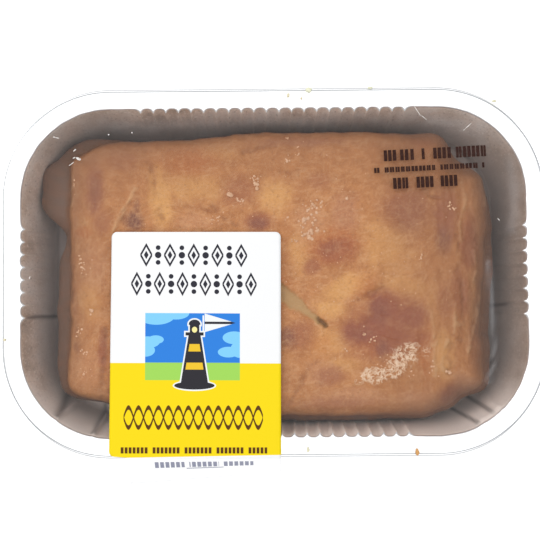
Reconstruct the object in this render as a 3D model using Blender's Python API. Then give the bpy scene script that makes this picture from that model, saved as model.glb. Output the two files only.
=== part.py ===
"""Sealed pack of one kouign amann: fluted foil tray, baked slab, clear lid film, paper label.

Sizes are in metres. +X runs along the long side, +Y points to the back and +Z up. The origin
is the middle of the tray's underside, which stands on the surface.
"""
import math

import bmesh
import bpy

# Tray. The opening is the edge where the wall turns out into the flat flange.
OPENING_LENGTH = 0.1920
OPENING_DEPTH = 0.1246
OPENING_CORNER = 0.0340
TRAY_HEIGHT = 0.0380
FOIL = 0.0006
WALL_DRAFT = math.radians(9.0)
FLOOR_FILLET = 0.0030
FLANGE_WIDTH = 0.0071
LONG_SIDE_LIP = 0.0009
CURL_DROP = 0.0024
CURL_FOLD = 0.0008
FLUTE_PITCH = 0.0048
FLUTE_DEPTH = 0.0016
LONG_FLUTES = 21
SHORT_FLUTES = 7
FLUTE_FADE = 0.42
CORNER_STEPS = 8

# Lid film, sealed on the flange and cut to its outline.
GAP = 0.0003
FILM = 0.00025
FILM_MARGIN = 0.0068

# Kouign amann, baked in the tray.
SLAB_FOOT = (0.0770, 0.0505)
SLAB_WAIST = (0.0808, 0.0550)
SLAB_SQUARENESS = 6.0
SLAB_OFFSET = (0.0019, -0.0004)
SLAB_STATIONS = 120
SLAB_TOP = TRAY_HEIGHT - 0.0008
SLAB_WAVE = 0.0007
# Each bump of the outline: direction in degrees, width in degrees, share of the reach.
SLAB_BUMPS = (
    (17.0, 7.0, 0.018),
    (32.5, 5.0, -0.055),
    (41.5, 3.5, 0.035),
    (128.0, 16.0, -0.042),
    (143.0, 4.0, 0.012),
    (151.0, 4.0, 0.030),
    (207.5, 6.0, 0.042),
    (216.0, 4.0, -0.030),
    (314.0, 5.0, 0.018),
    (326.5, 3.5, -0.024),
    (331.0, 3.5, 0.030),
    (348.0, 10.0, -0.022),
)
# Each lower tier, where dough ran out below the crust's edge: direction and width in degrees,
# share of the reach, how square its ends are.
SLAB_TIERS = (
    (160.0, 7.0, 0.145, 4.0),
    (147.0, 6.5, 0.080, 2.0),
    (-8.0, 24.0, 0.042, 4.0),
    (190.0, 20.0, 0.070, 4.0),
    (275.0, 48.0, 0.030, 6.0),
)

# Label, stuck on the film and folded down over the front of the flange.
LABEL_LEFT = -0.0626
LABEL_RIGHT = 0.0020
LABEL_BACK = 0.0152
LABEL_LEFT_SLANT = 0.0153
LABEL_RIGHT_SLANT = 0.0075
LABEL_BACK_TURN = 0.00025
LABEL_CORNER = 0.0020
LABEL_RIM = 0.0008 - (0.5 * OPENING_DEPTH + FLANGE_WIDTH + LONG_SIDE_LIP)
PAPER = 0.0003
EAR_STEP = 0.0004
FOLD_RADIUS = 0.0012
FLAP_LEFT = -0.0560
FLAP_LENGTH = 0.0160
FLAP_LEAN_LEFT = math.radians(46.0)
FLAP_LEAN_RIGHT = math.radians(28.0)


def clear_scene():
    """Start from an empty file."""
    for old in list(bpy.data.objects):
        bpy.data.objects.remove(old)


def finish_material(name, colour, roughness, metallic=0.0, alpha=1.0):
    """Return one plain finish for a sub-part."""
    material = bpy.data.materials.new(name)
    material.use_nodes = True
    shader = material.node_tree.nodes["Principled BSDF"]
    shader.inputs["Base Color"].default_value = (*colour, 1.0)
    shader.inputs["Roughness"].default_value = roughness
    shader.inputs["Metallic"].default_value = metallic
    shader.inputs["Alpha"].default_value = alpha
    return material


def add_piece(name, shell, material):
    """Turn a bmesh of one closed body into a named object."""
    bmesh.ops.recalc_face_normals(shell, faces=shell.faces)
    mesh = bpy.data.meshes.new(name)
    shell.to_mesh(mesh)
    shell.free()
    mesh.shade_smooth()
    mesh.set_sharp_from_angle(angle=math.radians(40.0))
    mesh.materials.append(material)
    piece = bpy.data.objects.new(name, mesh)
    bpy.context.scene.collection.objects.link(piece)
    return piece


def skin_rings(rings):
    """Join closed rings of points, first to last, and cap both ends with a flat face."""
    shell = bmesh.new()
    loops = [[shell.verts.new(point) for point in ring] for ring in rings]
    count = len(loops[0])
    for lower, upper in zip(loops, loops[1:]):
        for index in range(count):
            after = (index + 1) % count
            shell.faces.new((lower[index], lower[after], upper[after], upper[index]))
    shell.faces.new(tuple(reversed(loops[0])))
    shell.faces.new(loops[-1])
    return shell


def fluted_run(flutes):
    """Yield (place along one side, inward share) for the ridges and lobes of that side.

    Narrow ridges stand inward at the ends of each pitch, and the lobe between two ridges is
    flat-bottomed, level with the smooth wall of the corners.
    """
    start = -0.5 * flutes * FLUTE_PITCH
    shoulder = 0.30 * FLUTE_PITCH
    yield start - shoulder, 0.0
    for flute in range(flutes):
        ridge = start + flute * FLUTE_PITCH
        yield ridge, 1.0
        yield ridge + shoulder, 0.0
        yield ridge + FLUTE_PITCH - shoulder, 0.0
    yield -start, 1.0
    yield -start + shoulder, 0.0


def opening_stations(flutes_shown=True):
    """Return the opening's outline as (x, y, outward x, outward y, flute share), anticlockwise.

    Every ring of the tray is this outline moved in or out along its own outward direction.
    """
    half_length = 0.5 * OPENING_LENGTH
    half_depth = 0.5 * OPENING_DEPTH
    stations = []
    for quarter in range(4):
        heading = 0.5 * math.pi * quarter
        out_x = round(math.cos(heading))
        out_y = round(math.sin(heading))
        reach = half_length if out_x else half_depth
        side = half_depth if out_x else half_length
        if flutes_shown:
            for along, share in fluted_run(SHORT_FLUTES if out_x else LONG_FLUTES):
                x = out_x * reach - out_y * along
                y = out_y * reach + out_x * along
                stations.append((x, y, out_x, out_y, share))
        centre_x = out_x * (reach - OPENING_CORNER) - out_y * (side - OPENING_CORNER)
        centre_y = out_y * (reach - OPENING_CORNER) + out_x * (side - OPENING_CORNER)
        for step in range(CORNER_STEPS + 1):
            turn = heading + 0.5 * math.pi * step / CORNER_STEPS
            nx = math.cos(turn)
            ny = math.sin(turn)
            stations.append((centre_x + OPENING_CORNER * nx, centre_y + OPENING_CORNER * ny, nx, ny, 0.0))
    return stations


def build_tray():
    """One foil shell: fluted wall, rounded floor edge, flat flange with its edge curled down."""
    stations = opening_stations()

    def ring(offset, height, flute_share=0.0, lip=0.0):
        points = []
        for x, y, nx, ny, share in stations:
            move = offset + lip * ny * ny - FLUTE_DEPTH * flute_share * share
            points.append((x + nx * move, y + ny * move, height))
        return points

    def wall_offset(height):
        return -(TRAY_HEIGHT - height) * math.tan(WALL_DRAFT)

    knee = FLOOR_FILLET
    middle = 0.5 * TRAY_HEIGHT
    floor_inset = wall_offset(knee) - 0.8 * FLOOR_FILLET
    under = TRAY_HEIGHT - FOIL
    curl_foot = TRAY_HEIGHT - CURL_DROP
    rings = [
        ring(floor_inset, 0.0),
        ring(wall_offset(knee) + FOIL, knee),
        ring(wall_offset(middle) + FOIL, middle, FLUTE_FADE),
        ring(wall_offset(under) + FOIL, under, 1.0),
        ring(FLANGE_WIDTH - CURL_FOLD, under, 0.0, LONG_SIDE_LIP),
        ring(FLANGE_WIDTH - CURL_FOLD, curl_foot, 0.0, LONG_SIDE_LIP),
        ring(FLANGE_WIDTH, curl_foot, 0.0, LONG_SIDE_LIP),
        ring(FLANGE_WIDTH, TRAY_HEIGHT, 0.0, LONG_SIDE_LIP),
        ring(0.0, TRAY_HEIGHT, 1.0),
        ring(wall_offset(middle), middle, FLUTE_FADE),
        ring(wall_offset(knee) - FOIL, knee + FOIL),
        ring(floor_inset - FOIL, FOIL),
    ]
    foil = finish_material("tray_foil", (0.78, 0.79, 0.81), 0.28, metallic=1.0)
    return add_piece("tray", skin_rings(rings), foil)


def angular_bump(angle, at_degrees, width_degrees, amount, squareness=2.0):
    """Return a smooth bump of the given size around one direction."""
    turn = math.degrees(angle) - at_degrees
    turn = (turn + 180.0) % 360.0 - 180.0
    return amount * math.exp(-abs(turn / width_degrees) ** squareness)


def slab_reach(angle, spread):
    """Return how far the slab's uneven outline lies from a true rounded rectangle.

    The corners are cut back or drawn out one by one, as folded dough bakes. Where spread is 1
    the lower tiers stand out in full, the largest a tongue near the back left corner.
    """
    reach = 1.0 + 0.003 * math.sin(5.0 * angle + 0.6) + 0.002 * math.sin(11.0 * angle + 2.1)
    for at_degrees, width_degrees, amount in SLAB_BUMPS:
        reach += angular_bump(angle, at_degrees, width_degrees, amount)
    for at_degrees, width_degrees, amount, squareness in SLAB_TIERS:
        reach += angular_bump(angle, at_degrees, width_degrees, amount * spread, squareness)
    return reach


def slab_ring(half_size, inset, height, wave=0.0, spread=0.0):
    """One closed ring of the slab, a rounded rectangle with its own wander and waves."""
    half_length = half_size[0] - inset
    half_depth = half_size[1] - inset
    points = []
    for step in range(SLAB_STATIONS):
        angle = 2.0 * math.pi * step / SLAB_STATIONS
        cos_a = math.cos(angle)
        sin_a = math.sin(angle)
        power = abs(cos_a / half_length) ** SLAB_SQUARENESS + abs(sin_a / half_depth) ** SLAB_SQUARENESS
        radius = power ** (-1.0 / SLAB_SQUARENESS) * slab_reach(angle, spread)
        x = radius * cos_a
        y = radius * sin_a
        lift = math.sin(95.0 * x + 0.4) * math.cos(120.0 * y + 1.3) + 0.6 * math.sin(210.0 * x - 160.0 * y)
        points.append((x + SLAB_OFFSET[0], y + SLAB_OFFSET[1], height + wave * lift))
    return points


def build_slab():
    """The baked slab: upright sides that follow the tray, round shoulders, uneven flat top."""
    foot = FOIL + GAP
    shoulders = (
        (0.0008, 0.74, 0.3),
        (0.0034, 0.84, 0.6),
        (0.0080, 0.905, 1.0),
        (0.0150, 0.945, 1.0),
        (0.0260, 0.968, 1.0),
        (0.0390, 0.975, 1.0),
    )
    rings = [
        slab_ring(SLAB_FOOT, 0.0020, foot, spread=0.5),
        slab_ring(SLAB_FOOT, 0.0, foot + 0.0025, spread=0.6),
        slab_ring(SLAB_WAIST, 0.0012, 0.36 * SLAB_TOP, spread=0.8),
        slab_ring(SLAB_WAIST, 0.0006, 0.52 * SLAB_TOP, spread=1.0),
        slab_ring(SLAB_WAIST, 0.0, 0.62 * SLAB_TOP, spread=0.85),
        slab_ring(SLAB_WAIST, 0.0, 0.70 * SLAB_TOP, spread=0.1),
    ]
    for inset, share, wave in shoulders:
        rings.append(slab_ring(SLAB_WAIST, inset, share * SLAB_TOP, wave * SLAB_WAVE))
    shell = skin_rings(rings)
    shell.faces.ensure_lookup_table()
    crown = shell.faces[-1]
    bmesh.ops.poke(shell, faces=[crown])
    crust = finish_material("baked_crust", (0.56, 0.30, 0.13), 0.45)
    return add_piece("kouign_amann", shell, crust)


def build_film():
    """A flat sheet of clear film, its outline just inside the curled edge of the flange."""
    outline = []
    for x, y, nx, ny, _ in opening_stations(flutes_shown=False):
        outline.append((x + nx * FILM_MARGIN, y + ny * FILM_MARGIN))
    base = TRAY_HEIGHT + GAP
    rings = [[(x, y, height) for x, y in outline] for height in (base, base + FILM)]
    clear = finish_material("clear_film", (0.95, 0.96, 0.97), 0.12, alpha=0.25)
    return add_piece("lid_film", skin_rings(rings), clear)


def label_run(lean):
    """Return the label's lower side from the rim to the tip as (y, z, outward y, outward z).

    The paper turns over the rim on a small radius and then hangs away from the tray, down to
    its free edge. The lean is measured from the vertical.
    """
    rest = TRAY_HEIGHT + 2.0 * GAP + FILM
    rim = LABEL_RIM
    turns = 5
    run = []
    for step in range(turns + 1):
        turn = (0.5 * math.pi - lean) * step / turns
        y = rim - FOLD_RADIUS * math.sin(turn)
        z = rest - FOLD_RADIUS * (1.0 - math.cos(turn))
        run.append((y, z, -math.sin(turn), math.cos(turn)))
    y, z, out_y, out_z = run[-1]
    run.append((y - FLAP_LENGTH * out_z, z + FLAP_LENGTH * out_y, out_y, out_z))
    return run


def label_flat():
    """Return the flat part as (y, inset of the left side, inset of the right side)."""
    steps = 4
    rounding = [0.5 * math.pi * step / steps for step in range(steps + 1)]
    rows = []
    for turn in rounding:
        inset = LABEL_CORNER * (1.0 - math.sin(turn))
        rows.append((LABEL_BACK - LABEL_CORNER * (1.0 - math.cos(turn)), inset, inset))
    for turn in reversed(rounding):
        inset = LABEL_CORNER * (1.0 - math.sin(turn))
        rows.append((LABEL_RIM + EAR_STEP + LABEL_CORNER * (1.0 - math.cos(turn)), inset, 0.0))
    return rows


def build_label():
    """A paper label: rounded corners, one narrower flap folded over the front rim."""
    rest = TRAY_HEIGHT + 2.0 * GAP + FILM
    sections = []
    for y, left_inset, right_inset in label_flat():
        from_rim = y - LABEL_RIM
        turn = LABEL_BACK_TURN * from_rim / (LABEL_BACK - LABEL_RIM)
        left = LABEL_LEFT + left_inset + LABEL_LEFT_SLANT * from_rim
        right = LABEL_RIGHT - right_inset + LABEL_RIGHT_SLANT * from_rim
        sections.append((left, (y + turn, rest, 0.0, 1.0), right, (y - turn, rest, 0.0, 1.0)))
    for left_place, right_place in zip(label_run(FLAP_LEAN_LEFT), label_run(FLAP_LEAN_RIGHT)):
        sections.append((FLAP_LEFT, left_place, LABEL_RIGHT, right_place))
    shell = bmesh.new()
    loops = []
    for left, left_place, right, right_place in sections:
        corners = []
        for x, place, thickness in (
            (left, left_place, 0.0),
            (right, right_place, 0.0),
            (right, right_place, PAPER),
            (left, left_place, PAPER),
        ):
            y, z, out_y, out_z = place
            corners.append((x, y + thickness * out_y, z + thickness * out_z))
        loops.append([shell.verts.new(corner) for corner in corners])
    for near, far in zip(loops, loops[1:]):
        for index in range(4):
            after = (index + 1) % 4
            shell.faces.new((near[index], near[after], far[after], far[index]))
    shell.faces.new(loops[0])
    shell.faces.new(loops[-1])
    bmesh.ops.triangulate(shell, faces=shell.faces)
    paper = finish_material("label_paper", (0.90, 0.80, 0.20), 0.55)
    return add_piece("label", shell, paper)


clear_scene()
build_tray()
build_slab()
build_film()
build_label()
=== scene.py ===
"""Looks of a kouign amann sealed in its foil tray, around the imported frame."""
import math

import bmesh
import bpy
import numpy as np
from mathutils import Matrix, Vector, kdtree, noise


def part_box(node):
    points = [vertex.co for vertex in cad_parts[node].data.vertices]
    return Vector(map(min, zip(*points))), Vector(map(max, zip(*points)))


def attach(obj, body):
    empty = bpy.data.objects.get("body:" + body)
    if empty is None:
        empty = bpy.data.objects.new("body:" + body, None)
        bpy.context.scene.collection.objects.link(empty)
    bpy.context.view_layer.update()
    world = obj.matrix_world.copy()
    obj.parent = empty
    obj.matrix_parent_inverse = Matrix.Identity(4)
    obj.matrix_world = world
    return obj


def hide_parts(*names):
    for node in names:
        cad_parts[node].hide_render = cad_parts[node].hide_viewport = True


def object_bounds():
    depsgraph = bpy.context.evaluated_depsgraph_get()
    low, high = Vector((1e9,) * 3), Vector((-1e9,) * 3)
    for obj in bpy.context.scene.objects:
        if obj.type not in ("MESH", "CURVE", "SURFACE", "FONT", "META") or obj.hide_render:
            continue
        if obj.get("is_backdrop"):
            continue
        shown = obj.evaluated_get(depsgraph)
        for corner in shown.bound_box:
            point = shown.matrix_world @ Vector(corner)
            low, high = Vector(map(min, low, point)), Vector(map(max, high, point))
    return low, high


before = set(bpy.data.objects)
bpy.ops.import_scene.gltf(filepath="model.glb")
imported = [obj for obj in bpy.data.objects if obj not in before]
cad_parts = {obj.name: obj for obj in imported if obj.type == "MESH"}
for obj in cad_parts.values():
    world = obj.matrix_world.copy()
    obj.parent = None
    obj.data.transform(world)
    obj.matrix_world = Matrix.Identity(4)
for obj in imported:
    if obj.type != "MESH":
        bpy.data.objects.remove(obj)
cad_low, cad_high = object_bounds()

# ---------------------------------------------------------------------------------------------
# Studio: a white table under an even white sky, one broad soft lamp overhead and a weaker one
# from the left. The camera looks almost straight down, from close by, a little turned.
# ---------------------------------------------------------------------------------------------
MM = 0.001
rim_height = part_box("tray")[1].z
film_low, film_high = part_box("lid_film")


class Wire:
    """One socket of a material's nodes. Arithmetic on it adds Math nodes."""

    def __init__(self, tree, socket):
        self.tree = tree
        self.socket = socket

    def math(self, operation, *others, clamp=False):
        node = self.tree.nodes.new("ShaderNodeMath")
        node.operation = operation
        node.use_clamp = clamp
        for place, value in enumerate((self, *others)):
            if isinstance(value, Wire):
                self.tree.links.new(value.socket, node.inputs[place])
            else:
                node.inputs[place].default_value = value
        return Wire(self.tree, node.outputs[0])

    def __add__(self, other):
        return self.math("ADD", other)

    def __radd__(self, other):
        return self.math("ADD", other)

    def __sub__(self, other):
        return self.math("SUBTRACT", other)

    def __rsub__(self, other):
        return (self * -1.0).math("ADD", other)

    def __mul__(self, other):
        return self.math("MULTIPLY", other)

    def __rmul__(self, other):
        return self.math("MULTIPLY", other)

    def __truediv__(self, other):
        return self.math("DIVIDE", other)

    def __pow__(self, other):
        return self.math("POWER", other)

    def __abs__(self):
        return self.math("ABSOLUTE")

    def __lt__(self, other):
        return self.math("LESS_THAN", other)

    def __gt__(self, other):
        return self.math("GREATER_THAN", other)

    def clamped(self):
        return self.math("ADD", 0.0, clamp=True)

    def at_least(self, other):
        return self.math("MAXIMUM", other)

    def between(self, low, high):
        return (self > low) * (self < high)

    def rise(self, low, high):
        """0 below low and 1 above high, with a straight climb between."""
        return ((self - low) * (1.0 / (high - low))).clamped()


class Finish:
    """A Principled material under construction."""

    def __init__(self, name, **constants):
        self.material = bpy.data.materials.new(name)
        self.material.use_nodes = True
        self.tree = self.material.node_tree
        self.shader = self.tree.nodes["Principled BSDF"]
        for socket, value in constants.items():
            self.shader.inputs[socket.replace("_", " ")].default_value = value

    def node(self, kind, settings=None, output=0, **sockets):
        """Add a node: its settings first, then a value or a wire for each named socket."""
        node = self.tree.nodes.new(kind)
        for setting, value in (settings or {}).items():
            setattr(node, setting, value)
        for socket, value in sockets.items():
            place = node.inputs[socket.replace("_", " ")]
            if isinstance(value, Wire):
                self.tree.links.new(value.socket, place)
            else:
                place.default_value = value
        return Wire(self.tree, node.outputs[output])

    def attribute(self, name, output="Fac"):
        return self.node("ShaderNodeAttribute", {"attribute_name": name}, output)

    def grain(self, size, detail=2.0, rough=0.5, stretch=(1.0, 1.0, 1.0), distort=0.0):
        """Noise from 0 to 1 with features about size metres across."""
        place = self.node("ShaderNodeTexCoord", output="Object")
        place = self.node("ShaderNodeMapping", Vector=place, Scale=stretch)
        sockets = {"Scale": 1.0 / size, "Detail": detail, "Roughness": rough, "Distortion": distort}
        return self.node("ShaderNodeTexNoise", Vector=place, **sockets)

    def mix(self, factor, first, second):
        """Colour first where factor is 0, second where it is 1."""
        node = self.tree.nodes.new("ShaderNodeMix")
        node.data_type = "RGBA"
        for place, value in ((0, factor), (6, first), (7, second)):
            if isinstance(value, Wire):
                self.tree.links.new(value.socket, node.inputs[place])
            elif place:
                node.inputs[place].default_value = (*value, 1.0)
            else:
                node.inputs[place].default_value = value
        return Wire(self.tree, node.outputs[2])

    def vector(self, operation, first, second):
        """Vector maths on a wire and another wire or three numbers."""
        node = self.tree.nodes.new("ShaderNodeVectorMath")
        node.operation = operation
        for place, value in enumerate((first, second)):
            if isinstance(value, Wire):
                self.tree.links.new(value.socket, node.inputs[place])
            else:
                node.inputs[place].default_value = value
        return Wire(self.tree, node.outputs[0])

    def feed(self, socket, wire):
        self.tree.links.new(wire.socket, self.shader.inputs[socket.replace("_", " ")])

    def bump(self, height, depth):
        """Relief of the given depth in metres, where height runs from 0 to 1."""
        self.feed("Normal", self.node("ShaderNodeBump", Height=height, Distance=depth, Strength=1.0))


def lamp(name, size, power, place, aim):
    """A square soft lamp, facing its aim."""
    light = bpy.data.lights.new(name, "AREA")
    light.size = size
    light.energy = power
    body = bpy.data.objects.new(name, light)
    body.location = place
    body.rotation_euler = (Vector(aim) - Vector(place)).to_track_quat("-Z", "Y").to_euler()
    bpy.context.scene.collection.objects.link(body)


def placed(mesh, finish, smooth=True):
    """An object of the mesh's own name, in its finish."""
    mesh.materials.append(finish.material)
    if smooth:
        mesh.shade_smooth()
    piece = bpy.data.objects.new(mesh.name, mesh)
    bpy.context.scene.collection.objects.link(piece)
    return piece


def mesh_piece(name, points, faces, finish, smooth=True):
    """A named object from points in metres and faces."""
    mesh = bpy.data.meshes.new(name)
    mesh.from_pydata([tuple(point) for point in points], [], faces)
    mesh.validate()
    return placed(mesh, finish, smooth)


centre = Vector((0.0, 0.0, rim_height))
lamp("overhead_softbox", 1.1, 3.7, (0.0, 0.0, 0.95), centre)
lamp("left_softbox", 0.5, 1.45, (-0.55, 0.30, 0.55), centre)

sky = bpy.data.worlds.new("white_room")
sky.use_nodes = True
sky.node_tree.nodes["Background"].inputs["Color"].default_value = (0.98, 0.99, 1.0, 1.0)
sky.node_tree.nodes["Background"].inputs["Strength"].default_value = 0.66
bpy.context.scene.world = sky
bpy.context.scene.view_settings.view_transform = "Standard"

CAMERA_DISTANCE = 0.400
CAMERA_TILT = math.radians(2.4)
CAMERA_ROLL = math.radians(-0.5)
VIEW_WIDTH = 0.20466
AIM = Vector((-0.00155, 0.00058, rim_height))
camera_data = bpy.data.cameras.new("camera")
camera_data.sensor_width = 36.0
camera_data.lens = camera_data.sensor_width * CAMERA_DISTANCE / VIEW_WIDTH
camera_data.clip_start = 0.01
camera = bpy.data.objects.new("camera", camera_data)
turn = Matrix.Rotation(CAMERA_TILT, 3, "X") @ Matrix.Rotation(CAMERA_ROLL, 3, "Z")
camera.location = AIM + turn @ Vector((0.0, 0.0, CAMERA_DISTANCE))
camera.rotation_euler = turn.to_euler()
bpy.context.scene.collection.objects.link(camera)
bpy.context.scene.camera = camera

white_table = Finish("white_table", Roughness=0.6, Specular_IOR_Level=0.2, Emission_Strength=0.6)
white_table.shader.inputs["Emission Color"].default_value = (1.0, 1.0, 1.0, 1.0)
table_cloud = white_table.grain(0.09)
white_table.feed("Base_Color", white_table.mix(table_cloud, (0.93, 0.935, 0.94), (0.95, 0.95, 0.95)))
TABLE_HALF = 1.5
table_points = [(x, y, cad_low.z) for x, y in ((-1, -1), (1, -1), (1, 1), (-1, 1))]
table_points = [(x * TABLE_HALF, y * TABLE_HALF, z) for x, y, z in table_points]
mesh_piece("table", table_points, [(0, 1, 2, 3)], white_table, smooth=False)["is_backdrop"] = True

# ---------------------------------------------------------------------------------------------
# Tray: drawn aluminium foil. The punch left smooth round corners with a few pleats, flutes along
# the straight walls, and a flat flange whose cut edge is rolled into a bead.
# ---------------------------------------------------------------------------------------------
OPENING = (0.0960, 0.0623)
CORNER = 0.0340
FLANGE = 0.0071
LONG_SIDE_LIP = 0.0009
FOIL = 0.00025
DRAFT = math.tan(math.radians(9.0))
PITCH = 0.0048
FLUTE_DEPTH = 0.0015
FLUTES = {"long": 21, "short": 7}
STEPS_PER_FLUTE = 12
CORNER_STEPS = 60
BEAD = 0.0010
KNEE = 0.0030
KNEE_REACH = 0.0024
LIP_ROUND = 0.0007
FLUTE_FOOT = 0.0032
FACET_DEPTH = 0.0009


def flute_share(place, count):
    """How far the wall stands in, 0 to 1, at a place counted in flutes along the run."""
    if place < 0.0 or place > count:
        past = -place if place < 0.0 else place - count
        return max(0.0, 1.0 - past / 0.62) ** 2.4
    valley = abs(math.sin(math.pi * place))
    return max(0.0, 1.0 - valley / 0.92) ** 1.5


def opening_outline(steps_per_flute, corner_steps):
    """The opening's edge, anticlockwise: (x, y, outward x, outward y, inward share of a flute)."""
    rows = []
    for quarter in range(4):
        heading = 0.5 * math.pi * quarter
        out = np.round([math.cos(heading), math.sin(heading)])
        along = np.array([-out[1], out[0]])
        reach, side = OPENING if out[0] else OPENING[::-1]
        count = FLUTES["short"] if out[0] else FLUTES["long"]
        if steps_per_flute:
            start = -0.5 * count * PITCH
            panel = side - CORNER + start - PITCH
            for step in (1, 2):
                place = start - PITCH - panel * (1.0 - step / 3.0)
                rows.append((*(reach * out + place * along), *out, 0.0))
            for step in range(-steps_per_flute, (count + 1) * steps_per_flute + 1):
                place = step / steps_per_flute
                share = flute_share(place, count)
                rows.append((*(reach * out + (start + place * PITCH) * along), *out, share))
            for step in (1, 2):
                place = PITCH - start + panel * step / 3.0
                rows.append((*(reach * out + place * along), *out, 0.0))
        hub = (reach - CORNER) * out + (side - CORNER) * along
        for step in range(corner_steps + 1):
            angle = heading + 0.5 * math.pi * step / corner_steps
            away = np.array([math.cos(angle), math.sin(angle)])
            rows.append((*(hub + CORNER * away), *away, 0.0))
    return np.array(rows)


def wall_offset(height):
    return -(rim_height - height) * DRAFT


def knee_round(step):
    """(offset, height) on the round between floor and wall, at one of six steps."""
    angle = 0.5 * math.pi * step / 6
    return wall_offset(KNEE) - KNEE_REACH * (1.0 - math.sin(angle)), KNEE * (1.0 - math.cos(angle))


def flute_at(level):
    """Share of a flute's full depth at a height: the flutes fade out towards the floor."""
    rise = (level - KNEE) / (rim_height - KNEE)
    return min(1.0, 0.10 + 1.15 * rise ** 1.6)


def tray_profile():
    """The foil's section as (offset, height, flute share, lip share), from the inside floor
    up the wall, out over the flange, round the bead and back down the outside."""
    rows = [(wall_offset(KNEE) - KNEE_REACH - inward, FOIL, 0.0, 0.0) for inward in (0.012, 0.004, 0.0)]
    for step in range(1, 7):
        offset, height = knee_round(step)
        rows.append((offset, FOIL + height, 0.0, 0.0))
    wall_foot = FLUTE_FOOT + FOIL
    levels = [wall_foot + (rim_height - LIP_ROUND - wall_foot) * step / 20 for step in range(1, 21)]
    rows += [(wall_offset(level), level, flute_at(level), 0.0) for level in levels]
    for step in range(1, 6):
        angle = 0.5 * math.pi * step / 5
        height = rim_height - LIP_ROUND * (1.0 - math.sin(angle))
        rows.append((LIP_ROUND * (1.0 - math.cos(angle)), height, 1.0 - 0.12 * step, 0.0))
    rows.append((0.5 * FLANGE, rim_height, 0.0, 0.5))
    rows.append((FLANGE - BEAD - 0.0004, rim_height - 0.0001, 0.0, 1.0))
    for step in range(13):
        angle = 0.5 * math.pi - 1.6 * math.pi * step / 12
        height = rim_height - BEAD + BEAD * math.sin(angle)
        rows.append((FLANGE - BEAD + BEAD * math.cos(angle), height, 0.0, 1.0))
    underside = rim_height - FOIL
    rows.append((FLANGE - 2.0 * BEAD - 0.0003, underside, 0.0, 1.0))
    rows.append((0.5 * FLANGE, underside, 0.0, 0.5))
    rows.append((FOIL + LIP_ROUND, underside, 0.4, 0.0))
    rows.append((FOIL + 0.0002, underside - 0.4 * LIP_ROUND, 0.9, 0.0))
    rows += [(wall_offset(level) + FOIL, level, flute_at(level), 0.0) for level in reversed(levels[:-1])]
    for step in range(6, 0, -1):
        offset, height = knee_round(step)
        rows.append((offset + FOIL, height, 0.0, 0.0))
    rows.append((wall_offset(KNEE) - KNEE_REACH, 0.0, 0.0, 0.0))
    return rows


PLEATS = (
    # the corner's side in x and in y, degrees, width, depth, how low it runs
    (1, -1, -45.5, 2.2, 0.0011, 0.1),
    (1, -1, -60.0, 1.8, 0.0004, 0.3),
    (-1, -1, 232.0, 2.0, 0.0010, 0.0),
    (-1, -1, 258.0, 2.2, 0.0010, 0.0),
    (1, 1, 69.0, 3.0, -0.0003, 0.5),
    (1, 1, 100.0, 1.6, 0.0004, 0.6),
    (1, 1, 38.0, 3.0, 0.0003, 0.4),
    (-1, 1, 128.0, 3.0, 0.0003, 0.5),
)


def pleat_depth(x, y, height):
    """How far the pleats of the corner walls push the foil inward at one point."""
    level = height / rim_height
    depth = 0.0
    for side_x, side_y, degrees, width, amount, low in PLEATS:
        hub_x = side_x * (OPENING[0] - CORNER)
        hub_y = side_y * (OPENING[1] - CORNER)
        if (x - hub_x) * side_x < -0.010 or (y - hub_y) * side_y < -0.004:
            continue
        angle = math.degrees(math.atan2(y - hub_y, x - hub_x))
        bend = (angle - degrees + 180.0) % 360.0 - 180.0
        fall = max(0.0, 1.0 - abs(bend) / width)
        depth += amount * fall * min(1.0, max(0.0, (level - low) / 0.25)) * (1.0 if level < 0.97 else 0.2)
    return depth


def facet_depth(x, y, height):
    """The dented stretch of the front right corner leans in, flatter than its neighbours."""
    if x < OPENING[0] - CORNER - 0.01 or y > CORNER - OPENING[1]:
        return 0.0
    angle = math.degrees(math.atan2(y + OPENING[1] - CORNER, x - OPENING[0] + CORNER))
    inside = max(0.0, min(1.0, (angle + 66.0) / 3.0)) * max(0.0, min(1.0, (-45.0 - angle) / 2.0))
    level = height / rim_height
    return FACET_DEPTH * inside * min(1.0, max(0.0, (level - 0.25) / 0.40)) * (1.0 if level < 0.975 else 0.2)


# Painted shade along the foil's creases.
SHADED_CREASES = (
    # from x, y to x, y in mm, half width in mm
    (-82.6, -54.0, -84.5, -45.0, 1.3),
    (-84.5, -45.0, -87.4, -33.0, 1.2),
    (-87.4, -33.0, -87.6, -22.0, 1.0),
    (-69.0, -62.5, -70.0, -52.0, 1.1),
    (81.8, -53.4, 76.0, -47.0, 1.0),
    (77.0, -58.0, 70.0, -54.0, 0.8),
    (92.0, -13.0, 84.0, -14.5, 0.9),
    (-93.5, -16.5, -86.5, -16.0, 0.9),
)


def crease_shading(x, y):
    """How dark the painted shade in a crease of the foil is, 0 to 1, at a point seen from above."""
    darkest = 0.0
    for ax, ay, bx, by, width in SHADED_CREASES:
        span = (bx - ax) ** 2 + (by - ay) ** 2
        share = min(1.0, max(0.0, ((x / MM - ax) * (bx - ax) + (y / MM - ay) * (by - ay)) / span))
        away = math.hypot(x / MM - ax - share * (bx - ax), y / MM - ay - share * (by - ay))
        darkest = max(darkest, math.exp(-((away / width) ** 2)))
    return darkest


def lay_map(piece, name, values):
    """Keep a value at each of the piece's points, for its finish to read."""
    layer = piece.data.attributes.new(name, "FLOAT", "POINT")
    layer.data.foreach_set("value", np.asarray(values, np.float32))


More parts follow.
